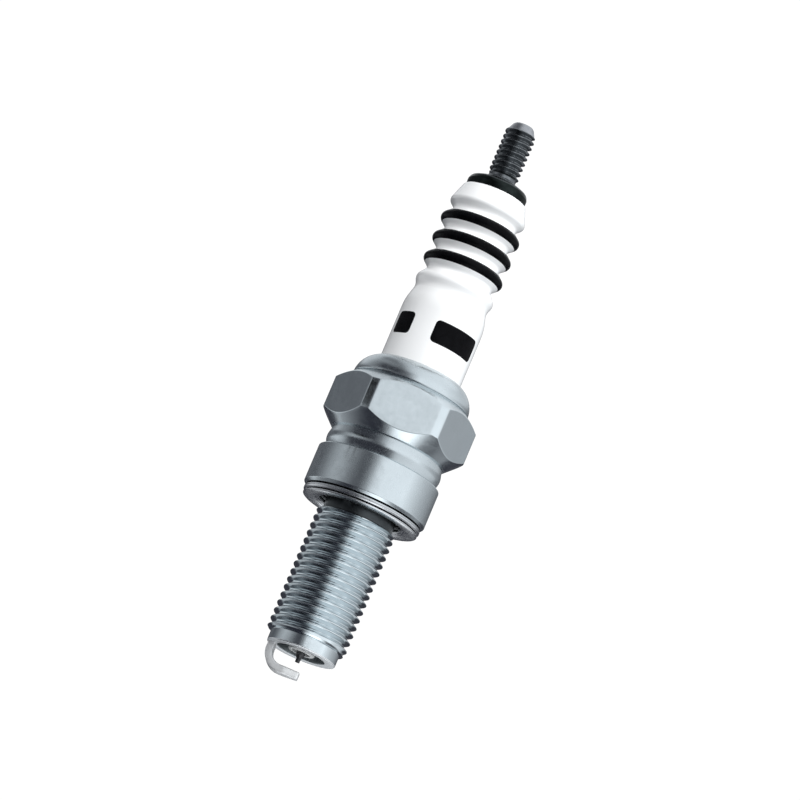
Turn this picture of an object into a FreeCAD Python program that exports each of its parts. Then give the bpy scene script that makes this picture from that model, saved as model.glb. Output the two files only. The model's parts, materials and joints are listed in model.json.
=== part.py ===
import FreeCAD, Part
import math
import os
import Sketcher

# Spark plug, 10 mm thread, 16 mm hexagon, 19 mm reach, millimetres.
# +Z runs along the plug's axis towards the terminal, and z = 0 is the underside of the gasket.
# Two hexagon flats face -Y and +Y. The ground electrode's leg is near -X.

V = FreeCAD.Vector
UP = V(0, 0, 1)
FULL_TURN = 360
SAME = 1e-4

# Name, size in mm (or degrees, or a count), and what it is. Names ending in _z are heights.
DRIVING = [
    ("zero", 0, "the axis, and the underside of the gasket"),
    ("contact_gap", 0.01, "clearance between pieces that are packed together"),
    ("cut_reach", 1.0, "how far a cutting outline goes beyond the metal"),
    ("shell_end_z", -17.8, "firing end of the shell"),
    ("shell_end_chamfer", 0.1, "edge break of the firing end"),
    ("pilot_r", 4.28, "plain nose below the thread"),
    ("nose_bore_r", 2.95, "shell bore around the insulator nose"),
    ("stem_bore_r", 3.45, "shell bore inside the thread"),
    ("step_drop", 11.27, "shell step cone: height = radius - step_drop"),
    ("cavity_r", 6.0, "shell bore under the hexagon"),
    ("cavity_cone_low_z", 3.4, "foot of the cone below the cavity"),
    ("thread_pitch", 1.0, "M10 x 1 pitch"),
    ("thread_r", 4.93, "M10 crest radius"),
    ("thread_turns", 13.5, "turns of the groove"),
    ("thread_low_z", -16.1, "first full crest"),
    ("thread_high_z", -1.1, "last full crest"),
    ("thread_lead_z", -15.3, "middle of the groove where it starts"),
    ("thread_chamfer", 0.15, "chamfer at both thread ends"),
    ("relief_r", 4.35, "neck between thread and seat"),
    ("seat_z", 1.2, "sealing face of the shell"),
    ("seat_r", 7.3, "outer edge of the sealing face"),
    ("body_r", 7.6, "round body"),
    ("body_low_z", 1.5, "top of the body's lower bevel"),
    ("body_high_z", 6.05, "foot of the body's upper bevel"),
    ("body_top_z", 6.2, "step from body to neck"),
    ("body_top_r", 7.45, "upper edge of the body"),
    ("neck_low_r", 7.06, "neck at its foot"),
    ("neck_high_r", 7.14, "neck under the hexagon"),
    ("neck_bulge_r", 6.5, "radius of the neck's barrel shape"),
    ("hex_af", 16.0, "width across flats"),
    ("hex_turned_r", 8.95, "turned radius of the hexagon's corners"),
    ("hex_low_z", 8.8, "underside of the hexagon"),
    ("hex_corner_low_z", 10.6, "lower end of the corners"),
    ("hex_corner_high_z", 14.37, "upper end of the corners"),
    ("hex_top_z", 15.7, "top of the hexagon"),
    ("hex_top_r", 7.3, "upper edge of the hexagon"),
    ("hex_core_r", 6.9, "turned core inside the hexagon"),
    ("collar_groove_r", 7.1, "line turned between hexagon and collar"),
    ("collar_groove_z", 15.83, "top of that line"),
    ("collar_low_z", 16.0, "foot of the collar's shoulder"),
    ("collar_r", 7.27, "crimp collar"),
    ("collar_round_r", 3.1, "rounding of the collar"),
    ("collar_top_z", 18.6, "top of the collar"),
    ("collar_top_r", 5.5, "end of the collar's rounding"),
    ("lip_r", 5.13, "opening of the rolled lip"),
    ("lip_edge_r", 5.3, "edge break of the lip"),
    ("lip_high_z", 18.45, "upper end of the lip's wall"),
    ("lip_low_z", 17.72, "lower end of the lip's wall"),
    ("roll_low_z", 17.12, "where the bore starts to roll over"),
    ("roll_r", 5.45, "end of the roll"),
    ("roll_round_r", 0.6, "inside radius of the roll"),
    ("leg_out_x", 4.0, "outer face of the ground electrode's leg"),
    ("ground_thick", 0.92, "thickness of the ground electrode"),
    ("ground_wide", 2.0, "width of the ground electrode"),
    ("ground_bend_r", 2.4, "outer bend radius"),
    ("ground_edge_r", 0.16, "rounding of the bar's four long edges"),
    ("arm_low_z", -20.89, "underside of the arm"),
    ("arm_tip_x", 0.78, "end of the arm"),
    ("arm_taper_x", 1.0, "start of the narrowed tip, left of the axis"),
    ("arm_tip_wide", 1.2, "width at the tip"),
    ("ground_turn", -8.0, "turn of the electrode about the axis, degrees"),
    ("nose_end_z", -17.7, "end of the insulator nose"),
    ("nose_end_r", 1.62, "nose at its end"),
    ("nose_base_r", 2.45, "nose at its base"),
    ("nose_edge_r", 0.25, "rounding of the nose end"),
    ("nose_drop", 10.85, "insulator step cone: height = radius - nose_drop"),
    ("stem_r", 3.3, "insulator inside the thread"),
    ("flange_cone_low_z", 4.0, "foot of the cone below the flange"),
    ("flange_r", 5.85, "largest part of the insulator"),
    ("flange_high_z", 13.0, "top of the flange"),
    ("sealed_r", 4.9, "insulator inside the talc seal"),
    ("sealed_high_z", 18.0, "upper end of that part"),
    ("barrel_low_z", 18.65, "foot of the glazed barrel"),
    ("barrel_r", 5.07, "glazed barrel"),
    ("barrel_high_z", 26.3, "top corner of the barrel"),
    ("waist_r", 4.5, "corner below the bump"),
    ("waist_z", 28.4, "corner below the bump"),
    ("bump_r", 4.97, "corner of the bump"),
    ("bump_z", 29.6, "corner of the bump"),
    ("low_groove_r", 3.95, "corner of the lowest groove"),
    ("low_groove_z", 30.95, "corner of the lowest groove"),
    ("rib_r", 5.29, "corners of the ribs"),
    ("rib_low_z", 32.2, "lowest rib"),
    ("rib_mid_z", 34.85, "middle rib"),
    ("rib_high_z", 37.5, "highest rib"),
    ("groove_r", 3.77, "corners of the grooves between ribs"),
    ("groove_low_z", 33.55, "lower groove"),
    ("groove_mid_z", 36.2, "middle groove"),
    ("groove_high_z", 38.85, "upper groove"),
    ("bulge_r", 4.8, "corner of the top bulge"),
    ("bulge_z", 39.75, "corner of the top bulge"),
    ("cone_high_r", 3.95, "upper end of the top cone"),
    ("cone_high_z", 42.1, "upper end of the top cone"),
    ("insulator_top_z", 42.25, "top of the insulator"),
    ("insulator_top_r", 3.8, "edge of the top face"),
    ("barrel_round_r", 6.0, "rounding at the barrel's top"),
    ("waist_round_r", 1.5, "rounding of the waist"),
    ("bump_round_r", 0.8, "rounding of the bump"),
    ("groove_round_r", 0.5, "rounding of the grooves"),
    ("rib_round_r", 0.6, "rounding of the ribs"),
    ("core_bore_r", 1.12, "insulator bore of the centre electrode"),
    ("stud_bore_r", 1.78, "insulator bore of the stud"),
    ("bore_step_low_z", -5.0, "foot of the step between the bores"),
    ("electrode_r", 1.08, "centre electrode"),
    ("electrode_head_r", 1.68, "head of the centre electrode"),
    ("head_gap", 0.03, "height between the head's cone and the insulator's step"),
    ("head_top_z", -3.7, "top of the head"),
    ("boss_r", 1.0, "boss on the head"),
    ("boss_top_z", -3.0, "top of the boss"),
    ("neck_start_z", -16.9, "start of the electrode's taper"),
    ("neck_end_z", -17.55, "end of the electrode's taper"),
    ("neck_r", 0.55, "slim end of the electrode"),
    ("electrode_end_z", -18.0, "end of the nickel electrode"),
    ("copper_r", 0.62, "copper core"),
    ("copper_tip_r", 0.3, "copper core at its tip"),
    ("copper_cone_z", -15.9, "start of the core's taper"),
    ("copper_low_z", -16.4, "tip of the copper core"),
    ("iridium_r", 0.28, "iridium wire"),
    ("iridium_low_z", -18.87, "sparking end"),
    ("iridium_high_z", -17.7, "end of the wire inside the electrode"),
    ("bead_low_z", -18.35, "lower end of the laser weld"),
    ("bead_low_r", 0.34, "lower edge of the laser weld"),
    ("washer_in_r", 2.98, "nose washer, inside"),
    ("washer_out_r", 3.42, "nose washer, outside"),
    ("washer_top_z", -7.61, "nose washer, upper edge"),
    ("ring_wire_r", 0.42, "wire of the two seal rings"),
    ("ring_r", 5.45, "middle of the seal rings' wire"),
    ("ring_low_z", 14.01, "lower seal ring"),
    ("ring_high_z", 17.12, "upper seal ring"),
    ("talc_in_r", 4.92, "talc, inside"),
    ("talc_out_r", 5.98, "talc, outside"),
    ("stud_shank_r", 1.55, "stud inside the insulator"),
    ("stud_low_z", 10.0, "lower end of the stud"),
    ("stud_bevel", 0.3, "bevel of that end"),
    ("stud_grip_r", 1.35, "grip rings at the lower end"),
    ("stud_grip_low_z", 10.5, "first grip ring"),
    ("stud_grip_step", 0.8, "distance between grip rings"),
    ("stud_grip_wide", 0.4, "width of a grip ring"),
    ("stud_flange_r", 3.75, "stud flange"),
    ("stud_flange_side_z", 42.95, "top of the flange's side"),
    ("stud_dome_r", 2.75, "end of the flange's rounding"),
    ("stud_dome_z", 43.8, "end of the flange's rounding"),
    ("stud_dome_round_r", 1.0, "rounding of the flange"),
    ("stud_foot_r", 1.9, "foot of the terminal shank"),
    ("stud_foot_z", 44.05, "foot of the terminal shank"),
    ("stud_neck_r", 1.7, "plain shank above the flange"),
    ("stud_neck_z", 44.3, "start of the plain shank"),
    ("stud_pitch", 0.7, "M4 pitch"),
    ("stud_thread_r", 1.92, "M4 crest radius"),
    ("stud_turns", 6.5, "turns of the groove"),
    ("stud_thread_low_z", 44.85, "first full crest"),
    ("stud_thread_high_z", 50.35, "last full crest"),
    ("stud_lead_z", 45.28, "middle of the groove where it starts"),
    ("stud_chamfer", 0.1, "chamfer at both ends of the stud's thread"),
    ("stud_core_r", 1.6, "turned core of the threaded part"),
    ("stud_tip_low_r", 1.72, "foot of the stud's tip"),
    ("stud_tip_low_z", 50.45, "foot of the stud's tip"),
    ("stud_tip_high_r", 1.32, "upper end of the tip's cone"),
    ("stud_tip_high_z", 51.3, "upper end of the tip's cone"),
    ("stud_end_r", 1.12, "edge of the end face"),
    ("stud_end_z", 51.5, "end of the stud"),
    ("fill_r", 1.76, "glass and resistor inside the stud bore"),
    ("resistor_low_z", 2.2, "lower end of the resistor"),
    ("resistor_high_z", 8.2, "upper end of the resistor"),
    ("glass_high_z", 13.4, "top of the upper glass"),
    ("gasket_r", 7.35, "gasket, outside"),
    ("gasket_in_r", 5.05, "gasket, inside"),
    ("gasket_sheet", 0.26, "sheet of the gasket"),
    ("gasket_mid_z", 0.42, "underside of the middle layer"),
    ("gasket_top_z", 1.1, "top of the gasket"),
    ("gasket_lip_r", 7.15, "outer edge of the bottom layer"),
    ("gasket_lip_bevel", 0.13, "rounding of that edge"),
    ("gasket_end_r", 5.3, "inner edge of the top layer"),
    ("dent_in_r", 4.62, "reach of the retaining dents"),
    ("dent_out_r", 5.6, "root of the retaining dents"),
    ("dent_half", 0.55, "half width of a dent"),
    ("dent_low_z", 0.06, "underside of a dent"),
    ("dent_thick", 0.2, "thickness of a dent"),
]

# Sizes that follow from the ones above, as sheet formulas.
DERIVED = [
    ("pilot_end_r", "pilot_r - shell_end_chamfer"),
    ("pilot_low_z", "shell_end_z + shell_end_chamfer"),
    ("step_low_z", "nose_bore_r - step_drop"),
    ("step_high_z", "stem_bore_r - step_drop"),
    ("cavity_cone_high_z", "cavity_cone_low_z + cavity_r - stem_bore_r"),
    ("thread_edge_r", "thread_r - thread_chamfer"),
    ("thread_start_z", "thread_low_z - thread_chamfer"),
    ("thread_stop_z", "thread_high_z + thread_chamfer"),
    ("band_in_r", "relief_r - thread_chamfer"),
    ("hex_flat_y", "hex_af / 2"),
    ("hex_point_x", "hex_af / sqrt(3)"),
    ("hex_point_half_x", "hex_af / sqrt(3) / 2"),
    ("hex_height", "hex_top_z - hex_low_z"),
    ("hex_clear_r", "hex_point_x + cut_reach"),
    ("leg_in_x", "leg_out_x - ground_thick"),
    ("bend_x", "leg_out_x - ground_bend_r"),
    ("bend_z", "arm_low_z + ground_bend_r"),
    ("bend_in_r", "ground_bend_r - ground_thick"),
    ("arm_high_z", "arm_low_z + ground_thick"),
    ("ground_half", "ground_wide / 2"),
    ("ground_clear_y", "ground_wide"),
    ("arm_tip_half", "arm_tip_wide / 2"),
    ("arm_clear_x", "arm_tip_x + cut_reach"),
    ("arm_clear_half",
     "arm_tip_half - (ground_half - arm_tip_half) / (arm_tip_x + arm_taper_x) * cut_reach"),
    ("pocket_deep", "cut_reach - arm_low_z"),
    ("nose_edge_high_z", "nose_end_z + nose_edge_r"),
    ("nose_edge_in_r", "nose_end_r - nose_edge_r"),
    ("nose_base_z", "nose_base_r - nose_drop"),
    ("stem_low_z", "stem_r - nose_drop"),
    ("flange_low_z", "flange_cone_low_z + flange_r - stem_r"),
    ("shoulder_high_z", "flange_high_z + flange_r - sealed_r"),
    ("bore_step_high_z", "bore_step_low_z + stud_bore_r - core_bore_r"),
    ("head_low_z", "bore_step_low_z + head_gap"),
    ("head_edge_z", "head_low_z + electrode_head_r - electrode_r"),
    ("washer_low_in_z", "washer_in_r - step_drop + contact_gap"),
    ("washer_low_out_z", "washer_out_r - step_drop + contact_gap"),
    ("washer_high_in_z", "washer_in_r - nose_drop - contact_gap"),
    ("washer_high_out_r", "washer_top_z + nose_drop + contact_gap"),
    ("talc_low_z", "ring_low_z + ring_wire_r + contact_gap"),
    ("talc_high_z", "ring_high_z - ring_wire_r - contact_gap"),
    ("stud_edge_r", "stud_thread_r - stud_chamfer"),
    ("stud_start_z", "stud_thread_low_z - stud_chamfer"),
    ("stud_stop_z", "stud_thread_high_z + stud_chamfer"),
    ("stud_band_in_r", "stud_core_r - stud_chamfer"),
    ("grip_a_low_z", "stud_grip_low_z"),
    ("grip_a_high_z", "grip_a_low_z + stud_grip_wide"),
    ("grip_b_low_z", "grip_a_low_z + stud_grip_step"),
    ("grip_b_high_z", "grip_b_low_z + stud_grip_wide"),
    ("grip_c_low_z", "grip_b_low_z + stud_grip_step"),
    ("grip_c_high_z", "grip_c_low_z + stud_grip_wide"),
    ("stud_end_bevel_r", "stud_shank_r - stud_bevel"),
    ("stud_end_bevel_z", "stud_low_z + stud_bevel"),
    ("glass_floor_z", "head_top_z + contact_gap"),
    ("resistor_floor_z", "resistor_low_z + contact_gap"),
    ("resistor_roof_z", "resistor_high_z - contact_gap"),
    ("gasket_fold_r", "gasket_r - (gasket_top_z - gasket_mid_z) / 2"),
    ("gasket_inner_fold_r", "gasket_in_r + (gasket_mid_z + gasket_sheet) / 2"),
    ("gasket_mid_top_z", "gasket_mid_z + gasket_sheet"),
    ("gasket_top_low_z", "gasket_top_z - gasket_sheet"),
    ("gasket_lip_in_r", "gasket_lip_r - gasket_lip_bevel"),
]

doc = FreeCAD.newDocument("spark_plug")
sheet = doc.addObject("Spreadsheet::Sheet", "sizes")


def fill_sheet():
    row = 1
    for name, value, note in DRIVING:
        sheet.set("A%d" % row, name)
        sheet.set("B%d" % row, str(value))
        sheet.set("C%d" % row, note)
        sheet.setAlias("B%d" % row, name)
        row += 1
    for name, formula in DERIVED:
        sheet.set("A%d" % row, name)
        sheet.setAlias("B%d" % row, name)
        sheet.set("B%d" % row, "=" + formula)
        row += 1
    doc.recompute()


def size(name):
    """The sheet's value for a name, or for its opposite when it starts with a minus."""
    if name.startswith("-"):
        return -size(name[1:])
    return float(sheet.get(name))


def from_sheet(name):
    return "-sizes." + name[1:] if name.startswith("-") else "sizes." + name


def new_body(name):
    body = doc.addObject("PartDesign::Body", name)
    body.Label = name
    return body


def origin_plane(body, role):
    for feature in body.Origin.OriginFeatures:
        if feature.Role == role:
            return feature
    raise ValueError("no plane " + role)


def arc_edge(start, end, how):
    """An arc between two points. how is (kind, size name): left or right of the way from
    start to end by radius, or about for half a circle whose centre has that first coordinate."""
    kind, name = how
    middle = (start + end) / 2
    if kind == "about_left" or kind == "about_right":
        centre = V(size(name), middle.y, 0)
        radius = (end - centre).Length
        turn_left = kind == "about_left"
    else:
        radius = size(name)
        along = (end - start).normalize()
        half = (end - start).Length / 2
        offset = math.sqrt(radius * radius - half * half)
        side = 1 if kind == "left" else -1
        centre = middle + V(-along.y, along.x, 0) * (offset * side)
        turn_left = kind == "left"
    first = math.atan2(start.y - centre.y, start.x - centre.x)
    last = math.atan2(end.y - centre.y, end.x - centre.x)
    if not turn_left:
        first, last = last, first
    if last < first:
        last += 2 * math.pi
    return Part.ArcOfCircle(Part.Circle(centre, UP, radius), first, last), turn_left


def outline(body, name, points, role="XZ_Plane"):
    """A closed, fully dimensioned sketch. points is a list of (first, second) size names.
    A third entry makes the edge that leaves the point an arc."""
    sketch = body.newObject("Sketcher::SketchObject", name)
    sketch.AttachmentSupport = [(origin_plane(body, role), "")]
    sketch.MapMode = "FlatFace"
    count = len(points)
    spots = [V(size(p[0]), size(p[1]), 0) for p in points]
    ends = []
    for i in range(count):
        after = spots[(i + 1) % count]
        if len(points[i]) == 3:
            edge, forward = arc_edge(spots[i], after, points[i][2])
            sketch.addGeometry(edge, False)
            ends.append((1, 2) if forward else (2, 1))
        else:
            sketch.addGeometry(Part.LineSegment(spots[i], after), False)
            ends.append((1, 2))
    for i in range(count):
        j = (i + 1) % count
        sketch.addConstraint(Sketcher.Constraint("Coincident", i, ends[i][1], j, ends[j][0]))
    for i, point in enumerate(points):
        for kind, coordinate in (("DistanceX", point[0]), ("DistanceY", point[1])):
            number = sketch.addConstraint(
                Sketcher.Constraint(kind, -1, 1, i, ends[i][0], size(coordinate))
            )
            sketch.setExpression("Constraints[%d]" % number, from_sheet(coordinate))
        if len(point) == 3:
            kind, value = point[2]
            if kind.startswith("about"):
                rule = Sketcher.Constraint("DistanceX", -1, 1, i, 3, size(value))
            else:
                rule = Sketcher.Constraint("Radius", i, size(value))
            number = sketch.addConstraint(rule)
            sketch.setExpression("Constraints[%d]" % number, from_sheet(value))
    return sketch


def turned(body, name, points, cut=False, degrees=FULL_TURN):
    """Material added or cut by turning an outline of (radius, height) about the axis."""
    sketch = outline(body, name + "_outline", points)
    kind = "PartDesign::Groove" if cut else "PartDesign::Revolution"
    feature = body.newObject(kind, name)
    feature.Profile = sketch
    feature.ReferenceAxis = (sketch, ["V_Axis"])
    feature.Angle = degrees
    feature.Refine = False
    doc.recompute()
    return feature


def round_edges(body, name, base, rings, radius):
    """Rounds the circular edges at the given (radius, height) places."""
    wanted = [(size(r), size(z)) for r, z in rings]
    edges = []
    for i, edge in enumerate(base.Shape.Edges):
        curve = edge.Curve
        if not isinstance(curve, Part.Circle):
            continue
        for r, z in wanted:
            if abs(curve.Radius - r) < SAME and abs(curve.Center.z - z) < SAME:
                edges.append("Edge%d" % (i + 1))
    fillet = body.newObject("PartDesign::Fillet", name)
    fillet.Base = (base, edges)
    fillet.Radius = size(radius)
    fillet.setExpression("Radius", from_sheet(radius))
    fillet.Refine = False
    body.Tip = fillet
    doc.recompute()
    return fillet


def repeat_round(body, name, feature, axis_sketch, count):
    pattern = body.newObject("PartDesign::PolarPattern", name)
    pattern.Originals = [feature]
    pattern.Axis = (axis_sketch, ["V_Axis"])
    pattern.Angle = FULL_TURN
    pattern.Occurrences = count
    pattern.Refine = False
    body.Tip = pattern
    doc.recompute()
    return pattern


# The metric external thread, as shares of its pitch: depth, and width of the flat crest.
THREAD_DEPTH = 0.6134
CREST_SHARE = 0.125
FLANK = math.tan(math.radians(30))
# How far the groove's cutter reaches outside the crest, as a share of the pitch.
OUTSIDE = 0.05
BAND_SECTORS = 8
GASKET_DENTS = 3


def groove_turns(name, crest, pitch, turns, lead):
    """The metric thread's groove as a cutter, wound turn by turn so that it stays true."""
    r = size(crest)
    step = size(pitch)
    total = size(turns)
    start = size(lead)
    depth = THREAD_DEPTH * step
    half = (1 - CREST_SHARE) * step / 2
    over = OUTSIDE * step
    mouth = half + over * FLANK
    floor = half - depth * FLANK
    pieces = []
    done = 0.0
    while done < total - SAME:
        part_turn = min(1.0, total - done)
        base = start + done * step
        section = Part.makePolygon([
            V(r + over, 0, base - mouth),
            V(r - depth, 0, base - floor),
            V(r - depth, 0, base + floor),
            V(r + over, 0, base + mouth),
            V(r + over, 0, base - mouth),
        ])
        path = Part.makeHelix(step, step * part_turn, r)
        path.translate(V(0, 0, base))
        sweep = Part.BRepOffsetAPI.MakePipeShell(path)
        sweep.setFrenetMode(True)
        sweep.add(section)
        sweep.build()
        sweep.makeSolid()
        pieces.append(sweep.shape())
        done += part_turn
    cutter = doc.addObject("Part::Feature", name)
    cutter.Shape = pieces[0].multiFuse(pieces[1:])
    return cutter


def cut_from(name, base, tool):
    result = doc.addObject("Part::Cut", name)
    result.Label = name
    result.Base = base
    result.Tool = tool
    result.Refine = False
    doc.recompute()
    return result


def thread_band(body, name, crest, edge, inner, start, low, high, stop):
    """The ring of metal that the thread is cut from, in equal sectors."""
    points = [(inner, start), (edge, start), (crest, low), (crest, high), (edge, stop),
              (inner, stop)]
    sector = turned(body, name, points, degrees=FULL_TURN / BAND_SECTORS)
    repeat_round(body, name + "_ring", sector, sector.Profile[0], BAND_SECTORS)


def make_shell():
    body = new_body("shell_blank")
    turned(body, "shell_turned", [
        ("nose_bore_r", "shell_end_z"),
        ("pilot_end_r", "shell_end_z"),
        ("pilot_r", "pilot_low_z"),
        ("pilot_r", "thread_start_z"),
        ("relief_r", "thread_start_z"),
        ("relief_r", "seat_z"),
        ("seat_r", "seat_z"),
        ("body_r", "body_low_z"),
        ("body_r", "body_high_z"),
        ("body_top_r", "body_top_z"),
        ("neck_low_r", "body_top_z", ("left", "neck_bulge_r")),
        ("neck_high_r", "hex_low_z"),
        ("hex_core_r", "hex_low_z"),
        ("hex_core_r", "hex_top_z"),
        ("collar_groove_r", "hex_top_z"),
        ("collar_groove_r", "collar_groove_z"),
        ("collar_r", "collar_low_z", ("left", "collar_round_r")),
        ("collar_top_r", "collar_top_z"),
        ("lip_edge_r", "collar_top_z"),
        ("lip_r", "lip_high_z"),
        ("lip_r", "lip_low_z"),
        ("roll_r", "lip_low_z", ("right", "roll_round_r")),
        ("cavity_r", "roll_low_z"),
        ("cavity_r", "cavity_cone_high_z"),
        ("stem_bore_r", "cavity_cone_low_z"),
        ("stem_bore_r", "step_high_z"),
        ("nose_bore_r", "step_low_z"),
    ])
    corners = outline(body, "hexagon_outline", [
        ("hex_point_x", "zero"),
        ("hex_point_half_x", "hex_flat_y"),
        ("-hex_point_half_x", "hex_flat_y"),
        ("-hex_point_x", "zero"),
        ("-hex_point_half_x", "-hex_flat_y"),
        ("hex_point_half_x", "-hex_flat_y"),
    ], "XY_Plane")
    corners.setExpression("AttachmentOffset.Base.z", "sizes.hex_low_z")
    doc.recompute()
    corner_cut = outline(body, "hexagon_corner_outline", [
        ("hex_clear_r", "hex_low_z"),
        ("hex_clear_r", "hex_top_z"),
        ("hex_top_r", "hex_top_z"),
        ("hex_turned_r", "hex_corner_high_z"),
        ("hex_turned_r", "hex_corner_low_z"),
        ("neck_high_r", "hex_low_z"),
    ])
    hexagon = body.newObject("PartDesign::Pad", "hexagon")
    hexagon.Profile = corners
    hexagon.Length = size("hex_height")
    hexagon.setExpression("Length", "sizes.hex_height")
    hexagon.Refine = False
    doc.recompute()
    turning = body.newObject("PartDesign::Groove", "hexagon_turned")
    turning.Profile = corner_cut
    turning.ReferenceAxis = (corner_cut, ["V_Axis"])
    turning.Angle = FULL_TURN
    turning.Refine = False
    doc.recompute()
    turned(body, "cavity_bore", [
        ("zero", "hex_low_z"),
        ("cavity_r", "hex_low_z"),
        ("cavity_r", "hex_top_z"),
        ("zero", "hex_top_z"),
    ], cut=True)
    thread_band(body, "thread_band", "thread_r", "thread_edge_r", "band_in_r",
                "thread_start_z", "thread_low_z", "thread_high_z", "thread_stop_z")
    cutter = groove_turns("shell_groove", "thread_r", "thread_pitch", "thread_turns",
                          "thread_lead_z")
    return cut_from("shell", body, cutter)


def long_edges(bar):
    """The bar's edges along its length: on either side face, or along the narrowed tip."""
    side_y = size("ground_half")
    names = []
    for i, edge in enumerate(bar.Shape.Edges):
        first, last = [v.Point for v in edge.Vertexes]
        on_side = abs(abs(first.y) - side_y) < SAME and abs(abs(last.y) - side_y) < SAME
        on_taper = abs(last.z - first.z) < SAME and abs(last.x - first.x) > size("arm_tip_x")
        at_shell = abs(first.x - last.x) > SAME and abs(first.z - size("shell_end_z")) < SAME
        upright_in_arm = max(first.z, last.z) < size("bend_z") and abs(first.x - last.x) < SAME
        if (on_side or on_taper) and not at_shell and not upright_in_arm:
            names.append("Edge%d" % (i + 1))
    return names


def make_ground_electrode():
    body = new_body("ground_electrode")
    side = outline(body, "ground_side", [
        ("-leg_out_x", "shell_end_z"),
        ("-leg_out_x", "bend_z", ("left", "ground_bend_r")),
        ("-bend_x", "arm_low_z"),
        ("arm_tip_x", "arm_low_z"),
        ("arm_tip_x", "arm_high_z"),
        ("-bend_x", "arm_high_z", ("right", "bend_in_r")),
        ("-leg_in_x", "bend_z"),
        ("-leg_in_x", "shell_end_z"),
    ])
    bar = body.newObject("PartDesign::Pad", "ground_bar")
    bar.Profile = side
    bar.Length = size("ground_wide")
    bar.setExpression("Length", "sizes.ground_wide")
    bar.Midplane = True
    doc.recompute()
    left = outline(body, "ground_taper_left", [
        ("-arm_taper_x", "ground_half"),
        ("arm_clear_x", "arm_clear_half"),
        ("arm_clear_x", "ground_clear_y"),
        ("-arm_taper_x", "ground_clear_y"),
    ], "XY_Plane")
    right = outline(body, "ground_taper_right", [
        ("-arm_taper_x", "-ground_half"),
        ("-arm_taper_x", "-ground_clear_y"),
        ("arm_clear_x", "-ground_clear_y"),
        ("arm_clear_x", "-arm_clear_half"),
    ], "XY_Plane")
    doc.recompute()
    for number, sketch in enumerate((left, right)):
        pocket = body.newObject("PartDesign::Pocket", "ground_tip_%d" % (number + 1))
        pocket.Profile = sketch
        pocket.Length = size("pocket_deep")
        pocket.setExpression("Length", "sizes.pocket_deep")
        doc.recompute()
    fillet = body.newObject("PartDesign::Fillet", "ground_edges")
    fillet.Base = (pocket, long_edges(pocket))
    fillet.Radius = size("ground_edge_r")
    fillet.setExpression("Radius", "sizes.ground_edge_r")
    body.Tip = fillet
    body.setExpression("Placement.Rotation.Angle", "sizes.ground_turn")
    body.setExpression("Placement.Rotation.Axis.z", "1")
    doc.recompute()
    return body


def make_insulator():
    body = new_body("insulator")
    base = turned(body, "insulator_turned", [
        ("core_bore_r", "nose_end_z"),
        ("nose_edge_in_r", "nose_end_z", ("left", "nose_edge_r")),
        ("nose_end_r", "nose_edge_high_z"),
        ("nose_base_r", "nose_base_z"),
        ("stem_r", "stem_low_z"),
        ("stem_r", "flange_cone_low_z"),
        ("flange_r", "flange_low_z"),
        ("flange_r", "flange_high_z"),
        ("sealed_r", "shoulder_high_z"),
        ("sealed_r", "sealed_high_z"),
        ("barrel_r", "barrel_low_z"),
        ("barrel_r", "barrel_high_z"),
        ("waist_r", "waist_z"),
        ("bump_r", "bump_z"),
        ("low_groove_r", "low_groove_z"),
        ("rib_r", "rib_low_z"),
        ("groove_r", "groove_low_z"),
        ("rib_r", "rib_mid_z"),
        ("groove_r", "groove_mid_z"),
        ("rib_r", "rib_high_z"),
        ("groove_r", "groove_high_z"),
        ("bulge_r", "bulge_z"),
        ("cone_high_r", "cone_high_z"),
        ("insulator_top_r", "insulator_top_z"),
        ("stud_bore_r", "insulator_top_z"),
        ("stud_bore_r", "bore_step_high_z"),
        ("core_bore_r", "bore_step_low_z"),
    ])
    base = round_edges(body, "rib_rounding", base, [
        ("rib_r", "rib_low_z"), ("rib_r", "rib_mid_z"), ("rib_r", "rib_high_z"),
    ], "rib_round_r")
    base = round_edges(body, "groove_rounding", base, [
        ("low_groove_r", "low_groove_z"), ("groove_r", "groove_low_z"),
        ("groove_r", "groove_mid_z"), ("groove_r", "groove_high_z"), ("bulge_r", "bulge_z"),
    ], "groove_round_r")
    base = round_edges(body, "bump_rounding", base, [("bump_r", "bump_z")], "bump_round_r")
    base = round_edges(body, "waist_rounding", base, [("waist_r", "waist_z")], "waist_round_r")
    round_edges(body, "barrel_rounding", base, [("barrel_r", "barrel_high_z")],
                "barrel_round_r")
    return body


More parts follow.
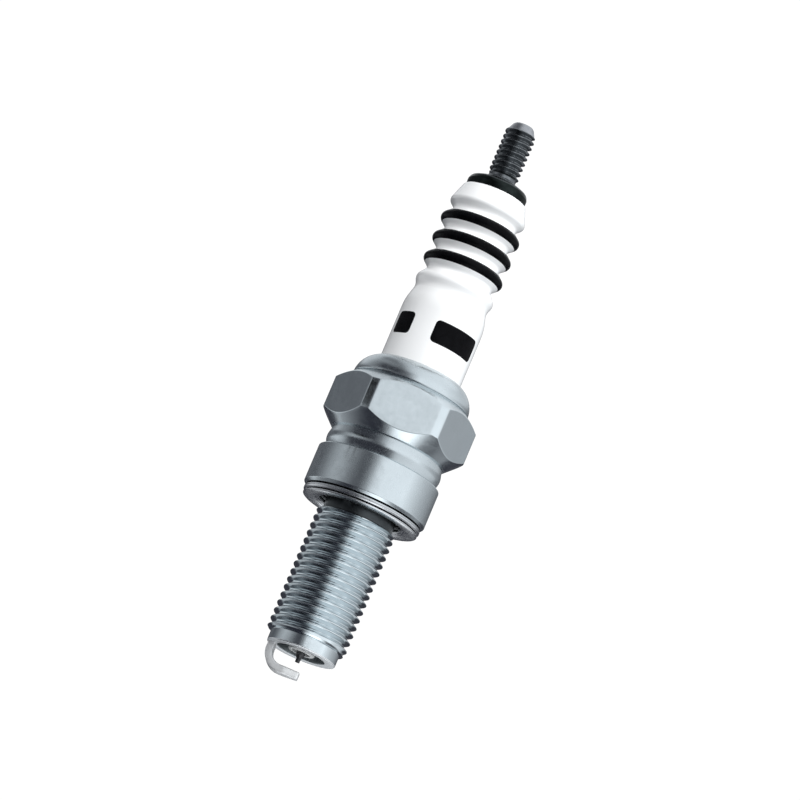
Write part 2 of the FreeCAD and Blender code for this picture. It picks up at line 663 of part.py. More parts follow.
def make_stud():
    body = new_body("stud_blank")
    turned(body, "stud_turned", [
        ("zero", "stud_low_z"),
        ("stud_end_bevel_r", "stud_low_z"),
        ("stud_shank_r", "stud_end_bevel_z"),
        ("stud_shank_r", "grip_a_low_z"),
        ("stud_grip_r", "grip_a_low_z"),
        ("stud_grip_r", "grip_a_high_z"),
        ("stud_shank_r", "grip_a_high_z"),
        ("stud_shank_r", "grip_b_low_z"),
        ("stud_grip_r", "grip_b_low_z"),
        ("stud_grip_r", "grip_b_high_z"),
        ("stud_shank_r", "grip_b_high_z"),
        ("stud_shank_r", "grip_c_low_z"),
        ("stud_grip_r", "grip_c_low_z"),
        ("stud_grip_r", "grip_c_high_z"),
        ("stud_shank_r", "grip_c_high_z"),
        ("stud_shank_r", "insulator_top_z"),
        ("stud_flange_r", "insulator_top_z"),
        ("stud_flange_r", "stud_flange_side_z", ("left", "stud_dome_round_r")),
        ("stud_dome_r", "stud_dome_z"),
        ("stud_foot_r", "stud_foot_z"),
        ("stud_neck_r", "stud_neck_z"),
        ("stud_neck_r", "stud_start_z"),
        ("stud_core_r", "stud_start_z"),
        ("stud_core_r", "stud_stop_z"),
        ("stud_tip_low_r", "stud_tip_low_z"),
        ("stud_tip_high_r", "stud_tip_high_z"),
        ("stud_end_r", "stud_end_z"),
        ("zero", "stud_end_z"),
    ])
    thread_band(body, "stud_band", "stud_thread_r", "stud_edge_r", "stud_band_in_r",
                "stud_start_z", "stud_thread_low_z", "stud_thread_high_z", "stud_stop_z")
    cutter = groove_turns("stud_groove", "stud_thread_r", "stud_pitch", "stud_turns",
                          "stud_lead_z")
    return cut_from("terminal_stud", body, cutter)


def make_copper_core():
    body = new_body("centre_electrode_core")
    turned(body, "core_turned", [
        ("zero", "copper_low_z"),
        ("copper_tip_r", "copper_low_z"),
        ("copper_r", "copper_cone_z"),
        ("copper_r", "boss_top_z"),
        ("zero", "boss_top_z"),
    ])
    return body


def make_centre_electrode(core):
    body = new_body("centre_electrode_blank")
    turned(body, "electrode_turned", [
        ("iridium_r", "electrode_end_z"),
        ("neck_r", "electrode_end_z"),
        ("neck_r", "neck_end_z"),
        ("electrode_r", "neck_start_z"),
        ("electrode_r", "head_low_z"),
        ("electrode_head_r", "head_edge_z"),
        ("electrode_head_r", "head_top_z"),
        ("boss_r", "head_top_z"),
        ("boss_r", "boss_top_z"),
        ("zero", "boss_top_z"),
        ("zero", "iridium_high_z"),
        ("iridium_r", "iridium_high_z"),
    ])
    return cut_from("centre_electrode", body, core), body


def make_iridium_tip():
    body = new_body("iridium_tip")
    turned(body, "tip_turned", [
        ("zero", "iridium_low_z"),
        ("iridium_r", "iridium_low_z"),
        ("iridium_r", "iridium_high_z"),
        ("zero", "iridium_high_z"),
    ])
    return body


def make_weld_bead():
    body = new_body("tip_weld_bead")
    turned(body, "bead_turned", [
        ("iridium_r", "bead_low_z"),
        ("bead_low_r", "bead_low_z"),
        ("neck_r", "electrode_end_z"),
        ("iridium_r", "electrode_end_z"),
    ])
    return body


def make_fill(name, low, high, tool=None):
    """A plug of glass or resistor paste in the insulator's bore, moulded round tool."""
    body = new_body(name if tool is None else name + "_blank")
    turned(body, name + "_turned", [
        ("zero", low),
        ("fill_r", low),
        ("fill_r", high),
        ("zero", high),
    ])
    if tool is None:
        return body
    return cut_from(name, body, tool)


def make_nose_washer():
    body = new_body("nose_seal_washer")
    turned(body, "washer_turned", [
        ("washer_in_r", "washer_low_in_z"),
        ("washer_out_r", "washer_low_out_z"),
        ("washer_out_r", "washer_top_z"),
        ("washer_high_out_r", "washer_top_z"),
        ("washer_in_r", "washer_high_in_z"),
    ])
    return body


def make_talc():
    body = new_body("talc_seal")
    turned(body, "talc_turned", [
        ("talc_in_r", "talc_low_z"),
        ("talc_out_r", "talc_low_z"),
        ("talc_out_r", "talc_high_z"),
        ("talc_in_r", "talc_high_z"),
    ])
    return body


def make_seal_ring(name, height):
    ring = doc.addObject("Part::Torus", name)
    ring.Label = name
    ring.setExpression("Radius1", "sizes.ring_r")
    ring.setExpression("Radius2", "sizes.ring_wire_r")
    ring.setExpression("Placement.Base.z", from_sheet(height))
    doc.recompute()
    return ring


def make_gasket():
    body = new_body("gasket")
    fold = turned(body, "gasket_folded", [
        ("gasket_inner_fold_r", "zero"),
        ("gasket_lip_in_r", "zero", ("left", "gasket_lip_bevel")),
        ("gasket_lip_r", "gasket_lip_bevel"),
        ("gasket_lip_r", "gasket_sheet"),
        ("gasket_inner_fold_r", "gasket_sheet", ("about_right", "gasket_inner_fold_r")),
        ("gasket_inner_fold_r", "gasket_mid_z"),
        ("gasket_fold_r", "gasket_mid_z", ("about_left", "gasket_fold_r")),
        ("gasket_fold_r", "gasket_top_z"),
        ("gasket_end_r", "gasket_top_z"),
        ("gasket_end_r", "gasket_top_low_z"),
        ("gasket_fold_r", "gasket_top_low_z", ("about_right", "gasket_fold_r")),
        ("gasket_fold_r", "gasket_mid_top_z"),
        ("gasket_inner_fold_r", "gasket_mid_top_z", ("about_left", "gasket_inner_fold_r")),
    ])
    dent = outline(body, "gasket_dent_outline", [
        ("dent_in_r", "-dent_half"),
        ("dent_out_r", "-dent_half"),
        ("dent_out_r", "dent_half"),
        ("dent_in_r", "dent_half"),
    ], "XY_Plane")
    dent.setExpression("AttachmentOffset.Base.z", "sizes.dent_low_z")
    doc.recompute()
    pad = body.newObject("PartDesign::Pad", "gasket_dent")
    pad.Profile = dent
    pad.Length = size("dent_thick")
    pad.setExpression("Length", "sizes.dent_thick")
    doc.recompute()
    repeat_round(body, "gasket_dents", pad, fold.Profile[0], GASKET_DENTS)
    return body


def check_and_save(parts):
    os.makedirs("parts", exist_ok=True)
    bad = [o.Label for o in doc.Objects if "Invalid" in o.State or "Error" in o.State]
    if bad:
        raise RuntimeError("objects that did not compute: " + ", ".join(bad))
    for part in parts:
        shape = part.Shape
        if shape.isNull() or not shape.isValid() or len(shape.Solids) != 1:
            raise RuntimeError("bad shape: " + part.Label)
        shape.exportStep(os.path.join("parts", part.Label + ".step"))
        box = shape.BoundBox
        print("%-24s %9.2f mm3  z %7.2f to %6.2f  r %.2f" % (
            part.Label, shape.Volume, box.ZMin, box.ZMax, box.XMax))


fill_sheet()
shell = make_shell()
stud = make_stud()
core = make_copper_core()
electrode, electrode_outside = make_centre_electrode(core)
check_and_save([
    shell,
    make_ground_electrode(),
    make_insulator(),
    stud,
    make_fill("upper_glass_seal", "resistor_high_z", "glass_high_z", stud),
    make_fill("resistor", "resistor_floor_z", "resistor_roof_z"),
    make_fill("lower_glass_seal", "glass_floor_z", "resistor_low_z", electrode_outside),
    electrode,
    core,
    make_iridium_tip(),
    make_weld_bead(),
    make_nose_washer(),
    make_talc(),
    make_seal_ring("lower_seal_ring", "ring_low_z"),
    make_seal_ring("upper_seal_ring", "ring_high_z"),
    make_gasket(),
])
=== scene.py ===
import json
import math

import bpy
import bmesh
import numpy as np
from mathutils import Matrix, Vector


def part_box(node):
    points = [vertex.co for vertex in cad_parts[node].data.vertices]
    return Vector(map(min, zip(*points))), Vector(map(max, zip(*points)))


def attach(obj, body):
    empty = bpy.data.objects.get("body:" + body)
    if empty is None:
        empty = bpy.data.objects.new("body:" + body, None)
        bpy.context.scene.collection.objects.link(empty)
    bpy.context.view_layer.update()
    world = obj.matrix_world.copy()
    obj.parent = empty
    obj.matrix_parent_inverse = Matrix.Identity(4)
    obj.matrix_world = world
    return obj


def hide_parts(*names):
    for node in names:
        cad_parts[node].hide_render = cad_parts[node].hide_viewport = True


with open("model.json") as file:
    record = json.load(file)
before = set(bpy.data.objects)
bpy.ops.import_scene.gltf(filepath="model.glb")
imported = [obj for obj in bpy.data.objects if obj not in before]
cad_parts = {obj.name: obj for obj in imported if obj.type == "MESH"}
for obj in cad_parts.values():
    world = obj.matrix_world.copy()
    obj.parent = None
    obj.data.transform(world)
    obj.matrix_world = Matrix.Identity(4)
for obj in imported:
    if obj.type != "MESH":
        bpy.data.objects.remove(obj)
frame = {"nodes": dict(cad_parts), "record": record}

# Spark plug. The CAD frame is used as it is: +Z along the plug towards the terminal, z = 0 at the
# underside of the gasket, camera side -Y. Lengths below are in millimetres unless said otherwise.
MM = 0.001
FULL = 2 * math.pi
PLUG = "plug"
GASKET = "gasket_ring"

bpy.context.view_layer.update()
mounts = {m["name"]: m for m in frame["record"]["mounts"]}


def low_z(node):
    """Lowest height of a CAD node."""
    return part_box(node)[0][2] / MM


def high_z(node):
    """Highest height of a CAD node."""
    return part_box(node)[1][2] / MM


def widest(node):
    """How far a CAD node reaches towards +X."""
    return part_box(node)[1][0] / MM


# ---------------------------------------------------------------- camera

def make_camera():
    """Long lens, a little below the plug, rolled so that the plug leans to the right."""
    lean = math.radians(23.0)
    rise = math.radians(12.9)
    distance = 0.7064
    aim = Vector((-0.9 * MM, 0, 14.8 * MM))
    back = Vector((0, -math.cos(rise), -math.sin(rise)))
    side = Vector((1, 0, 0))
    over = side.cross(-back)
    up = over * math.cos(lean) - side * math.sin(lean)
    right = side * math.cos(lean) + over * math.sin(lean)
    data = bpy.data.cameras.new("camera")
    data.lens = 270
    data.sensor_width = 36
    data.clip_start = 0.01
    data.clip_end = 20
    camera = bpy.data.objects.new("camera", data)
    bpy.context.scene.collection.objects.link(camera)
    turn = Matrix((right, up, back)).transposed()
    camera.matrix_world = Matrix.Translation(aim + back * distance) @ turn.to_4x4()
    bpy.context.scene.camera = camera


make_camera()


# ---------------------------------------------------------------- meshes

def rounded(corners, steps=5):
    """Points along an open line of corners (r, z, fillet radius), each corner turned into an arc."""
    places = [np.array(c[:2], float) for c in corners]
    points = [places[0]]
    for i in range(1, len(corners) - 1):
        corner = places[i]
        into = corner - places[i - 1]
        out = places[i + 1] - corner
        long_in = np.linalg.norm(into)
        long_out = np.linalg.norm(out)
        into = into / long_in
        out = out / long_out
        fillet = corners[i][2] if len(corners[i]) > 2 else 0
        turn = math.acos(max(-1.0, min(1.0, float(into @ out))))
        if fillet == 0 or turn < 0.01:
            points.append(corner)
            continue
        reach = min(fillet * math.tan(turn / 2), 0.48 * long_in, 0.48 * long_out)
        start = corner - into * reach
        end = corner + out * reach
        weight = math.cos(turn / 2)
        for k in range(steps + 1):
            f = k / steps
            parts = ((1 - f) ** 2, 2 * f * (1 - f) * weight, f ** 2)
            points.append((start * parts[0] + corner * parts[1] + end * parts[2]) / sum(parts))
    points.append(places[-1])
    return points


def arc(start, end, radius, steps):
    """Points from start to end on a circle, bulging to the right of the way."""
    start = np.array(start, float)
    end = np.array(end, float)
    along = end - start
    half = np.linalg.norm(along) / 2
    along = along / (2 * half)
    centre = (start + end) / 2
    centre = centre + np.array((-along[1], along[0])) * math.sqrt(radius ** 2 - half ** 2)
    first = math.atan2(start[1] - centre[1], start[0] - centre[0])
    last = math.atan2(end[1] - centre[1], end[0] - centre[0])
    sweep = (last - first + math.pi) % FULL - math.pi
    angles = [first + sweep * k / steps for k in range(steps + 1)]
    return [centre + radius * np.array((math.cos(a), math.sin(a))) for a in angles]


def fold(centre_r, centre_z, radius, first, last, steps):
    """Points on a circle between two angles in degrees, for the gasket's folds."""
    angles = np.radians(np.linspace(first, last, steps + 1))
    return [np.array((centre_r + radius * math.cos(a), centre_z + radius * math.sin(a)))
            for a in angles]


def even_angles(count):
    """Angles in radians, evenly spaced over a full turn."""
    return np.linspace(0, FULL, count, endpoint=False)


def skin(name, angles, profile_at, closed, materials, slot_of=None):
    """A turned piece. profile_at(angle) gives as many (r, z) points at every angle, from bottom
    to top. Ends on the axis become one point. slot_of(r, z) picks a face's material."""
    columns = len(angles)
    profiles = np.array([profile_at(a) for a in angles])
    rows = profiles.shape[1]
    pole_low = not closed and profiles[0, 0, 0] < 1e-6
    pole_high = not closed and profiles[0, -1, 0] < 1e-6
    first = 1 if pole_low else 0
    last = rows - 1 if pole_high else rows
    ring = last - first
    cosines = np.cos(angles)[:, None]
    sines = np.sin(angles)[:, None]
    part = profiles[:, first:last]
    spots = np.stack((part[:, :, 0] * cosines, part[:, :, 0] * sines, part[:, :, 1]), axis=2)
    spots = [tuple(p) for p in (spots * MM).reshape(-1, 3)]
    faces = []
    slots = []
    ups = ring if closed else ring - 1
    for i in range(columns):
        here = i * ring
        there = ((i + 1) % columns) * ring
        for j in range(ups):
            k = (j + 1) % ring
            faces.append((here + j, there + j, there + k, here + k))
            if slot_of:
                slots.append(slot_of(*((part[i, j] + part[i, k]) / 2)))
    for pole, row, flip in ((pole_low, 0, True), (pole_high, ring - 1, False)):
        if not pole:
            continue
        centre = len(spots)
        height = profiles[0, 0 if flip else -1, 1]
        spots.append((0, 0, height * MM))
        for i in range(columns):
            a = i * ring + row
            b = ((i + 1) % columns) * ring + row
            faces.append((b, a, centre) if flip else (a, b, centre))
            if slot_of:
                slots.append(slot_of(0, height))
    return make_piece(name, spots, faces, materials, slots)


def make_piece(name, spots, faces, materials, slots=None, sharp=34):
    """An object from points in metres and faces. Edges steeper than sharp degrees stay sharp."""
    mesh = bpy.data.meshes.new(name)
    mesh.from_pydata(spots, [], faces)
    for material in materials:
        mesh.materials.append(material)
    if slots:
        mesh.polygons.foreach_set("material_index", slots)
    clean = bmesh.new()
    clean.from_mesh(mesh)
    bmesh.ops.recalc_face_normals(clean, faces=clean.faces)
    clean.to_mesh(mesh)
    clean.free()
    mesh.polygons.foreach_set("use_smooth", [True] * len(mesh.polygons))
    mesh.set_sharp_from_angle(angle=math.radians(sharp))
    piece = bpy.data.objects.new(name, mesh)
    bpy.context.scene.collection.objects.link(piece)
    shade = piece.modifiers.new("shade", "WEIGHTED_NORMAL")
    shade.keep_sharp = True
    return piece


def soft_min(a, b, blend):
    """The smaller of two values, with the corner where they cross rounded off."""
    gap = np.maximum(blend - np.abs(a - b), 0)
    return np.minimum(a, b) - gap * gap / (4 * blend)


def thread_radius(angle, z, crest, pitch, lead, turns):
    """Radius of a rolled metric thread at an angle and heights z, with rounded crest and root.
    The groove starts at height lead and fades in and out at its ends."""
    depth = 0.6134 * pitch
    half_mouth = 0.4375 * pitch
    root_blend = 0.2 * pitch
    crest_blend = 0.12 * pitch
    fade_in = 0.25
    fade_start = 0.6
    fade_out = 0.3
    turn = angle / FULL
    count = (z - lead) / pitch - turn
    whole = np.round(count)
    from_groove = np.abs(count - whole) * pitch
    flank = (half_mouth - from_groove) / math.tan(math.radians(30))
    cut = soft_min(flank, np.full_like(flank, depth), root_blend)
    cut = -soft_min(-cut, np.zeros_like(cut), crest_blend)
    along = whole + turn
    fade = np.clip(np.minimum(along / fade_in + fade_start, (turns - along) / fade_out), 0, 1)
    return crest - np.maximum(cut, 0) * fade


# ---------------------------------------------------------------- materials

def socket(shader, name, value):
    """Sets one of a shader's values."""
    shader.inputs[name].default_value = value


class Surface:
    """A Principled material whose nodes read the object's own coordinates, in metres."""

    def __init__(self, name, colour, metallic=0.0, roughness=0.5):
        self.material = bpy.data.materials.new(name)
        self.material.use_nodes = True
        self.tree = self.material.node_tree
        self.shader = self.tree.nodes["Principled BSDF"]
        socket(self.shader, "Base Color", (*colour, 1))
        socket(self.shader, "Metallic", metallic)
        socket(self.shader, "Roughness", roughness)
        self.place = self.node("ShaderNodeTexCoord").outputs["Object"]
        self.normal = None

    def node(self, kind, **settings):
        made = self.tree.nodes.new(kind)
        for name, value in settings.items():
            setattr(made, name, value)
        return made

    def link(self, out, into):
        self.tree.links.new(out, into)

    def noise(self, scale, detail=2.0, stretch=(1, 1, 1)):
        """Noise of about 1/scale metres a grain, stretched by scaling the coordinates."""
        mapping = self.node("ShaderNodeMapping")
        mapping.inputs["Scale"].default_value = stretch
        self.link(self.place, mapping.inputs["Vector"])
        noise = self.node("ShaderNodeTexNoise")
        noise.inputs["Scale"].default_value = scale
        noise.inputs["Detail"].default_value = detail
        self.link(mapping.outputs["Vector"], noise.inputs["Vector"])
        return noise.outputs["Fac"]

    def vary(self, name, source, low, high, start=0.3, stop=0.7):
        """Drives a socket between two numbers, or two colours, by a noise."""
        if name == "Base Color":
            ramp = self.node("ShaderNodeValToRGB")
            ramp.color_ramp.elements[0].position = start
            ramp.color_ramp.elements[0].color = (*low, 1)
            ramp.color_ramp.elements[1].position = stop
            ramp.color_ramp.elements[1].color = (*high, 1)
            self.link(source, ramp.inputs["Fac"])
            self.link(ramp.outputs["Color"], self.shader.inputs[name])
            return
        change = self.node("ShaderNodeMapRange")
        change.inputs["From Min"].default_value = start
        change.inputs["From Max"].default_value = stop
        change.inputs["To Min"].default_value = low
        change.inputs["To Max"].default_value = high
        self.link(source, change.inputs["Value"])
        self.link(change.outputs["Result"], self.shader.inputs[name])

    def bump(self, source, height):
        """Adds relief of that height in metres on top of any there already."""
        bump = self.node("ShaderNodeBump")
        bump.inputs["Distance"].default_value = height
        self.link(source, bump.inputs["Height"])
        if self.normal:
            self.link(self.normal, bump.inputs["Normal"])
        self.normal = bump.outputs["Normal"]
        self.link(self.normal, self.shader.inputs["Normal"])


def nickel(name, colour, roughness, turned, grain=1.0, metallic=1.0):
    """Satin plating: soft tone changes, fine grain, and turning lines where a lathe has cut."""
    grain_height = 0.0000035
    line_height = 0.000003
    along_rings = (0.02, 0.02, 1)
    surface = Surface(name, colour, metallic, roughness)
    dim = tuple(c * 0.96 for c in colour)
    lit = tuple(min(1.0, c * 1.03) for c in colour)
    surface.vary("Base Color", surface.noise(260, 5), dim, lit)
    surface.vary("Roughness", surface.noise(1500, 3), roughness - 0.03, roughness + 0.04)
    surface.bump(surface.noise(9000, 2), grain_height * grain)
    if turned:
        surface.bump(surface.noise(5200, 3, along_rings), line_height * turned)
    return surface.material


def glaze():
    """White glaze with a thin clear coat."""
    surface = Surface("insulator_glaze", (0.93, 0.935, 0.93), 0.0, 0.16)
    surface.vary("Base Color", surface.noise(160, 3), (0.915, 0.92, 0.915), (0.945, 0.948, 0.945))
    surface.vary("Roughness", surface.noise(900, 3), 0.12, 0.22)
    surface.bump(surface.noise(700, 2), 0.000006)
    socket(surface.shader, "Coat Weight", 0.4)
    socket(surface.shader, "Coat Roughness", 0.06)
    return surface.material


def ink():
    """Black print, nearly without shine."""
    surface = Surface("band_ink", (0.003, 0.003, 0.004), 0.0, 0.3)
    surface.vary("Base Color", surface.noise(1200, 3), (0.0015, 0.0015, 0.002), (0.0035, 0.0035, 0.0045))
    surface.vary("Roughness", surface.noise(2200, 3), 0.2, 0.34)
    surface.bump(surface.noise(2600, 2), 0.000003)
    socket(surface.shader, "Specular IOR Level", 0.05)
    return surface.material


def dark_metal(name, low, high, metallic, roughness, grain):
    """Metal whose tone changes in small patches between two colours."""
    surface = Surface(name, low, metallic, roughness)
    socket(surface.shader, "Specular IOR Level", 0.25)
    surface.vary("Base Color", surface.noise(900, 4), low, high)
    surface.vary("Roughness", surface.noise(2500, 3), roughness - 0.06, roughness + 0.08)
    surface.bump(surface.noise(5200, 3), 0.000004 * grain)
    return surface.material


def powder(name, low, high, roughness):
    """Ceramic and pressed or melted powder: bare nose, seal glass, resistor, talc."""
    surface = Surface(name, low, 0.0, roughness)
    surface.vary("Base Color", surface.noise(2400, 5), low, high)
    surface.bump(surface.noise(3600, 4), 0.00001)
    return surface.material


SATIN = (0.59, 0.645, 0.67)


def satin(share):
    """The shell's plating colour, brighter or darker."""
    return tuple(c * share for c in SATIN)


steel_turned = nickel("shell_turned", SATIN, 0.25, 1.0)
steel_forged = nickel("shell_forged", satin(1.07), 0.22, 0.0, 1.2)
steel_thread = nickel("shell_thread", satin(1.07), 0.12, 0.4)
# The plating at 0.55 of the shell's colour inside the bores, the cavity and the lip: painted shade for
# the hollows.
steel_bore_painted_shade = nickel("shell_bore_painted_shade", satin(0.55), 0.42, 1.0)
# The thread relief's plating at 0.16 of the shell's colour: painted shade for the deep groove under the
# gasket.
steel_relief_painted_shade = nickel("shell_relief_painted_shade", satin(0.16), 0.34, 1.0)
steel_end = nickel("shell_end", (0.9, 0.92, 0.93), 0.5, 0.6)
steel_gasket = nickel("gasket_plate", (0.69, 0.705, 0.72), 0.27, 0.5)
alloy_ground = nickel("ground_alloy", (0.9, 0.905, 0.9), 0.42, 0.0, 1.6, 0.55)
white_glaze = glaze()
black_ink = ink()
# The insulator's nose: unglazed ceramic, and also painted a darker grey than the glaze as shade for its
# place inside the shell.
bare_ceramic_and_shade = powder("nose_ceramic_and_shade", (0.72, 0.73, 0.72), (0.82, 0.83, 0.82), 0.5)
stud_black = dark_metal("stud_black", (0.006, 0.008, 0.008), (0.022, 0.028, 0.027), 0.95, 0.22, 1)
# A lighter copy of the flange's black for its upper rounding: a painted highlight.
stud_shoulder_painted_highlight = dark_metal("stud_shoulder_painted_highlight", (0.03, 0.035, 0.036), (0.08, 0.088, 0.09), 1.0, 0.24, 1)
stud_dark = dark_metal("stud_oxide", (0.13, 0.14, 0.148), (0.26, 0.275, 0.288), 1.0, 0.26, 1.5)
stud_bare = dark_metal("stud_bare", (0.3, 0.31, 0.33), (0.45, 0.46, 0.48), 1.0, 0.32, 1.2)


# ---------------------------------------------------------------- shell

# Radii and heights of the shell, from its firing end to the rolled lip.
END_Z = low_z("shell")
TIP_BORE_R = 2.95
NOSE_BORE_R = 3.45
STEP_LOW_Z = -8.32
STEP_HIGH_Z = STEP_LOW_Z + NOSE_BORE_R - TIP_BORE_R
PILOT_R = 4.28
THREAD_R = mounts["thread"]["dims"]["r_mm"]
THREAD_LOW_Z = -16.25
THREAD_HIGH_Z = -0.95
THREAD_FOOT_R = 4.7
THREAD_CHAMFER = 0.2
THREAD_ROWS = 22
PITCH = 1.0
GROOVE_LOW = -16.1
GROOVE_TURNS = 15.4
RELIEF_R = 4.35
SEAT_Z = 1.2
SEAT_R = 7.3
BODY_R = 7.6
BODY_LOW_Z = 1.55
BODY_TOP_Z = 6.2
NECK_LOW_R = 6.86
NECK_R = 7.24
NECK_MIDDLE_Z = 7.42
NECK_TOP_R = 6.92
NECK_BULGE = 1.7
HEX_Y = -mounts["hexagon_front"]["pos_m"][1] / MM
HEX_CORNER = widest("shell")
HEX_LOW = 8.8
HEX_LOW_R = 7.14
HEX_CORNER_LOW = 10.6
HEX_CORNER_HIGH = 14.37
HEX_TOP = 15.7
HEX_TOP_R = 7.3
# Long stretches of the hexagon's outline, by number, and how many rows each is divided into:
# the lower chamfer, the flat and the upper chamfer.
HEX_STRETCHES = {0: 5, 6: 7, 12: 5}
COLLAR_R = 7.27
COLLAR_GROOVE = 0.17
COLLAR_TOP_Z = 18.6
COLLAR_TOP_R = 5.5
COLLAR_ROUND = 3.05
LIP_R = 5.13
LIP_LOW_Z = 17.7
ROLL_R = 5.5
ROLL_LOW_Z = 17.1
CAVITY_R = 6.0
CAVITY_CONE_Z = 5.95
CAVITY_FLOOR_Z = 3.4
# The shell's materials by number.
TURNED, FORGED, THREAD, BORE_PAINTED_SHADE, RELIEF_PAINTED_SHADE, END = range(6)


def hexagon_columns():
    """Column angles with extra ones at both edges of each turned corner."""
    edge = 30 - math.degrees(math.acos(HEX_Y / HEX_CORNER))
    near = [0, 0.4 * edge, 0.72 * edge, 0.9 * edge, edge, 1.1 * edge, 1.3 * edge, 1.7 * edge]
    far = list(np.linspace(2.2 * edge, 30, 13))
    half = near + far
    sector = half + [60 - a for a in reversed(half[1:-1])]
    return np.radians([60 * k + a for k in range(6) for a in sector])


def hexagon_radius(angle):
    """Distance from the axis to the hexagon's flat, or to its turned corner."""
    off = (math.degrees(angle) % 60) - 30
    return float(soft_min(HEX_Y / math.cos(math.radians(off)), np.float64(HEX_CORNER), 0.05))


def shell_below():
    """Nose bore, end face and pilot, from inside to outside, up to the foot of the thread."""
    return rounded([
        (NOSE_BORE_R, CAVITY_FLOOR_Z),
        (NOSE_BORE_R, STEP_HIGH_Z, 0.05),
        (TIP_BORE_R, STEP_LOW_Z, 0.05),
        (TIP_BORE_R, END_Z, 0.12),
        (PILOT_R, END_Z, 0.16),
        (PILOT_R, THREAD_LOW_Z - 0.07, 0.08),
        (THREAD_FOOT_R, THREAD_LOW_Z - 0.03),
    ])


def shell_above():
    """Relief, seat, body and neck, up to the hexagon's underside."""
    body = rounded([
        (THREAD_FOOT_R + 0.06, THREAD_HIGH_Z + 0.01),
        (RELIEF_R, THREAD_HIGH_Z + 0.15, 0.1),
        (RELIEF_R, SEAT_Z, 0.15),
        (SEAT_R, SEAT_Z, 0.05),
        (BODY_R, BODY_LOW_Z, 0.12),
        (BODY_R, BODY_TOP_Z - 0.14, 0.13),
        (BODY_R - 0.18, BODY_TOP_Z, 0.05),
        (NECK_LOW_R + 0.02, BODY_TOP_Z, 0.05),
        (NECK_LOW_R, BODY_TOP_Z + 0.04),
    ])
    neck = rounded([
        (NECK_LOW_R, BODY_TOP_Z + 0.08),
        (NECK_R, NECK_MIDDLE_Z, NECK_BULGE),
        (NECK_TOP_R, HEX_LOW - 0.04),
    ], 12)
    return body + neck


def hexagon_side(angle):
    """Lower chamfer, flat or corner, and upper chamfer at one angle."""
    r = hexagon_radius(angle)
    slope_low = (HEX_CORNER_LOW - HEX_LOW) / (HEX_CORNER - HEX_LOW_R)
    slope_high = (HEX_TOP - HEX_CORNER_HIGH) / (HEX_CORNER - HEX_TOP_R)
    edge = 0.14
    points = rounded([
        (HEX_LOW_R, HEX_LOW),
        (r, HEX_LOW + (r - HEX_LOW_R) * slope_low, edge),
        (r, HEX_TOP - (r - HEX_TOP_R) * slope_high, edge),
        (HEX_TOP_R, HEX_TOP, 0.05),
        (COLLAR_R - 0.15, HEX_TOP + 0.02),
    ])
    rows = []
    for k, (a, b) in enumerate(zip(points[:-1], points[1:])):
        parts = HEX_STRETCHES.get(k, 1)
        rows += [a + (b - a) * n / parts for n in range(parts)]
    return rows + [points[-1]]


def shell_top():
    """Turned line, crimp collar, rolled lip and the cavity inside, down to the stem bore."""
    groove_r = COLLAR_R - COLLAR_GROOVE
    foot = rounded([
        (groove_r, HEX_TOP + 0.05),
        (groove_r, HEX_TOP + 0.12, 0.03),
        (COLLAR_R - 0.03, HEX_TOP + 0.18, 0.03),
        (COLLAR_R, HEX_TOP + 0.26),
    ])
    shoulder = arc((COLLAR_R, HEX_TOP + 0.4), (COLLAR_TOP_R, COLLAR_TOP_Z - 0.02), COLLAR_ROUND,
                   steps=14)
    inside = rounded([
        (COLLAR_TOP_R - 0.1, COLLAR_TOP_Z),
        (LIP_R + 0.07, COLLAR_TOP_Z - 0.02, 0.06),
        (LIP_R, COLLAR_TOP_Z - 0.2, 0.05),
        (LIP_R, LIP_LOW_Z + 0.02, 0.05),
        (ROLL_R, LIP_LOW_Z, 0.1),
        (CAVITY_R, ROLL_LOW_Z, 0.1),
        (CAVITY_R, CAVITY_CONE_Z, 0.1),
        (NOSE_BORE_R + 0.15, CAVITY_FLOOR_Z + 0.1),
    ])
    return foot + shoulder + inside


def shell_slot(r, z):
    """Which of the shell's materials a face at (r, z) has."""
    if z < END_Z + 0.2 and r > TIP_BORE_R + 0.05:
        return END
    in_nose = r < NOSE_BORE_R + 0.05
    in_cavity = r < CAVITY_R + 0.05 and CAVITY_FLOOR_Z - 0.1 < z < LIP_LOW_Z + 0.1
    in_lip = r < LIP_R - 0.03 and z > CAVITY_FLOOR_Z
    # Inside the bores, the cavity and the lip: the copy of the plating painted darker as shade.
    if in_nose or in_cavity or in_lip:
        return BORE_PAINTED_SHADE
    if z < THREAD_HIGH_Z + 0.05:
        return THREAD
    # The thread relief gets the copy of the plating painted dark as shade.
    if z < SEAT_Z + 0.01 and r < 7:
        return RELIEF_PAINTED_SHADE
    return FORGED if HEX_LOW < z < HEX_TOP else TURNED


def make_shell():
    """Threaded steel shell with its hexagon and rolled collar."""
    step = PITCH / THREAD_ROWS
    levels = np.arange(THREAD_LOW_Z + 0.01, THREAD_HIGH_Z - 0.01, step)
    below = shell_below()
    above = shell_above()
    top = shell_top()
    from_ends = np.minimum(levels - THREAD_LOW_Z, THREAD_HIGH_Z - levels)
    chamfer = THREAD_R - THREAD_CHAMFER + np.minimum(from_ends, THREAD_CHAMFER)

    def profile(angle):
        cut = thread_radius(angle, levels, THREAD_R, PITCH, GROOVE_LOW, GROOVE_TURNS)
        threads = np.stack((soft_min(cut, chamfer, 0.03), levels), axis=1)
        return np.vstack((below, threads, above, hexagon_side(angle), top))

    piece = skin("shell_body", hexagon_columns(), profile, True,
                 [steel_turned, steel_forged, steel_thread, steel_bore_painted_shade, steel_relief_painted_shade, steel_end],
                 shell_slot)
    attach(piece, PLUG)
    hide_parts("shell")


# ---------------------------------------------------------------- gasket

